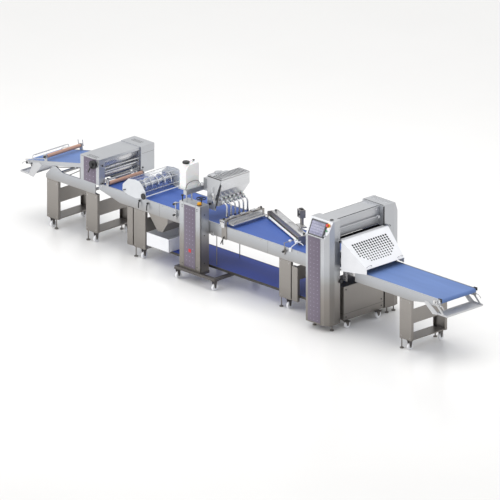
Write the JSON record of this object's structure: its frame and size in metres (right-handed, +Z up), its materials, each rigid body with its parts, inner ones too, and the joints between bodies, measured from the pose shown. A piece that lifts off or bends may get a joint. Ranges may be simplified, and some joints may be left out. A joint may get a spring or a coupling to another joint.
{
  "type": "dough sheeting line",
  "caption": "Bakery dough sheeter with a make-up table, guillotine, dosing trolley, rotary cutter, moulding head and outfeed conveyor.",
  "frame": {"origin": "on the floor under the middle of the line's bounding box", "axes": "+X along the belts towards the infeed table, -Y towards the operator, +Z up"},
  "size_m": [8.336, 1.4114, 1.666],
  "materials": {
    "stainless": "satin brushed",
    "blue_belt": "matt coated fabric",
    "dark_blue_belt": "matt coated fabric",
    "chromed_steel": "polished",
    "white_paint": "semi-gloss",
    "white_plastic": "moulded",
    "beech": "bare, smooth",
    "black_plastic": "moulded",
    "dark_screen": "glossy",
    "red_plastic": "moulded",
    "yellow_plastic": "moulded",
    "green_plastic": "moulded",
    "clear_plastic": "clear",
    "blue_plastic": "moulded",
    "grey_plastic": "moulded"
  },
  "bodies": {
    "line_frame": {"infeed_rails": "stainless", "infeed_belt": "blue_belt", "slider_beds": "stainless", "catch_trays": "stainless", "infeed_stand": "stainless", "table_stands": "stainless", "sheeter_front_column": "stainless", "sheeter_back_column": "stainless", "touch_screen": "dark_screen", "head_housing": "stainless", "cylinder_side_frames": "stainless", "base_cabinet": "stainless", "table_rails": "stainless", "table_belt": "blue_belt", "return_belt": "dark_blue_belt", "return_belt_frame": "stainless", "guillotine_frame": "stainless", "angled_roller_housing": "stainless", "head_rails": "stainless", "head_side_boxes": "stainless", "head_top_cover": "stainless", "outfeed_frame": "stainless", "outfeed_belt": "blue_belt", "scrap_chute": "stainless", "levelling_feet": "stainless", "caster_forks": "stainless"},
    "trolley": {"dosing_column": "stainless", "trolley_base": "stainless", "release_oil_canister": "white_plastic", "hopper": "stainless", "depositor_pump": "stainless", "dosing_nozzles": "stainless"},
    "cutter_guard": {"cutter_guard_frame": "white_paint", "cutter_guard_window": "clear_plastic"},
    "head_cover": {"head_cover": "stainless"},
    "guillotine_comb": {"guillotine_comb": "stainless"},
    "hopper_grid": {"hopper_grid": "stainless"},
    "upper_sheeting_cylinder": {"upper_sheeting_cylinder": "chromed_steel"},
    "lower_sheeting_cylinder": {"lower_sheeting_cylinder": "chromed_steel"},
    "infeed_end_roller": {"infeed_end_roller": "chromed_steel"},
    "table_end_roller": {"table_end_roller": "chromed_steel"},
    "outfeed_end_roller": {"outfeed_end_roller": "chromed_steel"},
    "upper_moulding_roller": {"upper_moulding_roller": "chromed_steel"},
    "lower_moulding_roller": {"lower_moulding_roller": "chromed_steel"},
    "safety_hood": {"safety_hood": "white_paint"},
    "scrap_bin": {"scrap_bin": "white_paint"},
    "angled_pressing_roller": {"angled_pressing_roller": "white_plastic"},
    "outfeed_wooden_roller": {"outfeed_wooden_roller": "beech"},
    "table_wooden_roller": {"table_wooden_roller": "beech"},
    "gap_lever": {"gap_lever": "black_plastic"},
    "hand_wheel": {"hand_wheel": "black_plastic"},
    "emergency_stop": {"emergency_stop": "red_plastic"},
    "trolley_stop": {"trolley_stop": "yellow_plastic"},
    "start_button": {"start_button": "green_plastic"},
    "key_switch": {"key_switch": "chromed_steel"},
    "rotary_cutter": {"rotary_cutter": "blue_plastic"},
    "front_caster_wheels": {"front_caster_wheels": "grey_plastic"},
    "back_caster_wheels": {"back_caster_wheels": "grey_plastic"},
    "trolley_front_wheels": {"trolley_front_wheels": "grey_plastic"},
    "trolley_back_wheels": {"trolley_back_wheels": "grey_plastic"}
  },
  "joints": [
    {"name": "hood_hinge", "type": "hinge", "parent": "line_frame", "child": "safety_hood", "pos_m": [2.232, -0.04425, 1.3], "axis": [0, -1, 0], "range_deg": [0, 60]},
    {"name": "head_cover_hinge", "type": "hinge", "parent": "line_frame", "child": "head_cover", "pos_m": [2.07, -0.04425, 1.545], "axis": [0, -1, 0], "range_deg": [0, 85]},
    {"name": "upper_sheeting_spin", "type": "hinge", "parent": "line_frame", "child": "upper_sheeting_cylinder", "pos_m": [1.99, -0.04425, 0.956], "axis": [0, 1, 0], "continuous": true},
    {"name": "lower_sheeting_spin", "type": "hinge", "parent": "line_frame", "child": "lower_sheeting_cylinder", "pos_m": [1.99, -0.04425, 0.826], "axis": [0, 1, 0], "continuous": true},
    {"name": "emergency_stop_press", "type": "slide", "parent": "line_frame", "child": "emergency_stop", "axis": [0, 0.914, -0.4058], "range_m": [0, 0.004], "stiffness_N_per_m": 1500, "springref_m": -0.003},
    {"name": "start_button_press", "type": "slide", "parent": "line_frame", "child": "start_button", "axis": [0, 0.914, -0.4058], "range_m": [0, 0.002], "stiffness_N_per_m": 800, "springref_m": -0.003},
    {"name": "key_switch_turn", "type": "hinge", "parent": "line_frame", "child": "key_switch", "pos_m": [2.108, -0.67477, 1.38387], "axis": [0, -0.914, 0.4058], "range_deg": [0, 90]},
    {"name": "infeed_roller_spin", "type": "hinge", "parent": "line_frame", "child": "infeed_end_roller", "pos_m": [4.02, -0.04425, 0.855], "axis": [0, 1, 0], "continuous": true},
    {"name": "table_roller_spin", "type": "hinge", "parent": "line_frame", "child": "table_end_roller", "pos_m": [-2.569, -0.04425, 0.855], "axis": [0, 1, 0], "continuous": true},
    {"name": "outfeed_roller_spin", "type": "hinge", "parent": "line_frame", "child": "outfeed_end_roller", "pos_m": [-4.04536, -0.04425, 0.83768], "axis": [0, 1, 0], "continuous": true},
    {"name": "guillotine_stroke", "type": "slide", "parent": "line_frame", "child": "guillotine_comb", "axis": [0, 0, -1], "range_m": [0, 0.03]},
    {"name": "pressing_roller_spin", "type": "hinge", "parent": "line_frame", "child": "angled_pressing_roller", "pos_m": [0.07206, 0.25197, 0.918], "axis": [0.9222, -0.3867, 0], "continuous": true},
    {"name": "hopper_grid_lid", "type": "hinge", "parent": "trolley", "child": "hopper_grid", "pos_m": [-0.502, -0.04425, 1.486], "axis": [0, -1, 0], "range_deg": [0, 95]},
    {"name": "hand_wheel_turn", "type": "hinge", "parent": "trolley", "child": "hand_wheel", "pos_m": [-0.549, -0.43425, 1.2], "axis": [0, 0, 1], "continuous": true},
    {"name": "trolley_stop_press", "type": "slide", "parent": "trolley", "child": "trolley_stop", "axis": [0, 0, -1], "range_m": [0, 0.005], "stiffness_N_per_m": 1500, "springref_m": -0.003},
    {"name": "gap_lever_turn", "type": "hinge", "parent": "line_frame", "child": "gap_lever", "pos_m": [-2.6, -0.48925, 1.195], "axis": [0, 1, 0], "range_deg": [-60, 60]},
    {"name": "cutter_guard_hinge", "type": "hinge", "parent": "line_frame", "child": "cutter_guard", "pos_m": [-2.095, -0.04425, 0.935], "axis": [0, -1, 0], "range_deg": [0, 70]},
    {"name": "cutter_spin", "type": "hinge", "parent": "line_frame", "child": "rotary_cutter", "pos_m": [-1.88, -0.04425, 1], "axis": [0, 1, 0], "continuous": true},
    {"name": "outfeed_wooden_roller_spin", "type": "hinge", "parent": "line_frame", "child": "outfeed_wooden_roller", "pos_m": [-3.67316, -0.04425, 1.00999], "axis": [0, 1, 0], "continuous": true},
    {"name": "table_wooden_roller_spin", "type": "hinge", "parent": "line_frame", "child": "table_wooden_roller", "pos_m": [-2.445, -0.04425, 0.925], "axis": [0, 1, 0], "continuous": true},
    {"name": "upper_moulding_spin", "type": "hinge", "parent": "line_frame", "child": "upper_moulding_roller", "pos_m": [-2.64, -0.04425, 1.14], "axis": [0, 1, 0], "continuous": true},
    {"name": "lower_moulding_spin", "type": "hinge", "parent": "line_frame", "child": "lower_moulding_roller", "pos_m": [-2.64, -0.04425, 0.99], "axis": [0, 1, 0], "continuous": true},
    {"name": "scrap_bin_slide", "type": "slide", "parent": "line_frame", "child": "scrap_bin", "axis": [0, -1, 0], "range_m": [0, 0.6]},
    {"name": "front_wheels_spin", "type": "hinge", "parent": "line_frame", "child": "front_caster_wheels", "pos_m": [0, -0.33925, 0.048], "axis": [1, 0, 0], "continuous": true},
    {"name": "back_wheels_spin", "type": "hinge", "parent": "line_frame", "child": "back_caster_wheels", "pos_m": [0, 0.25075, 0.048], "axis": [1, 0, 0], "continuous": true},
    {"name": "trolley_front_wheels_spin", "type": "hinge", "parent": "trolley", "child": "trolley_front_wheels", "pos_m": [0, -0.56725, 0.048], "axis": [1, 0, 0], "continuous": true},
    {"name": "trolley_back_wheels_spin", "type": "hinge", "parent": "trolley", "child": "trolley_back_wheels", "pos_m": [0, 0.21875, 0.048], "axis": [1, 0, 0], "continuous": true},
    {"name": "trolley_roll", "type": "slide", "parent": "line_frame", "child": "trolley", "axis": [0, -1, 0], "range_m": [0, 0.9]}
  ],
  "couplings": [
    {"joint": "lower_sheeting_spin", "follows": "upper_sheeting_spin", "ratio": -1},
    {"joint": "lower_moulding_spin", "follows": "upper_moulding_spin", "ratio": -1}
  ]
}
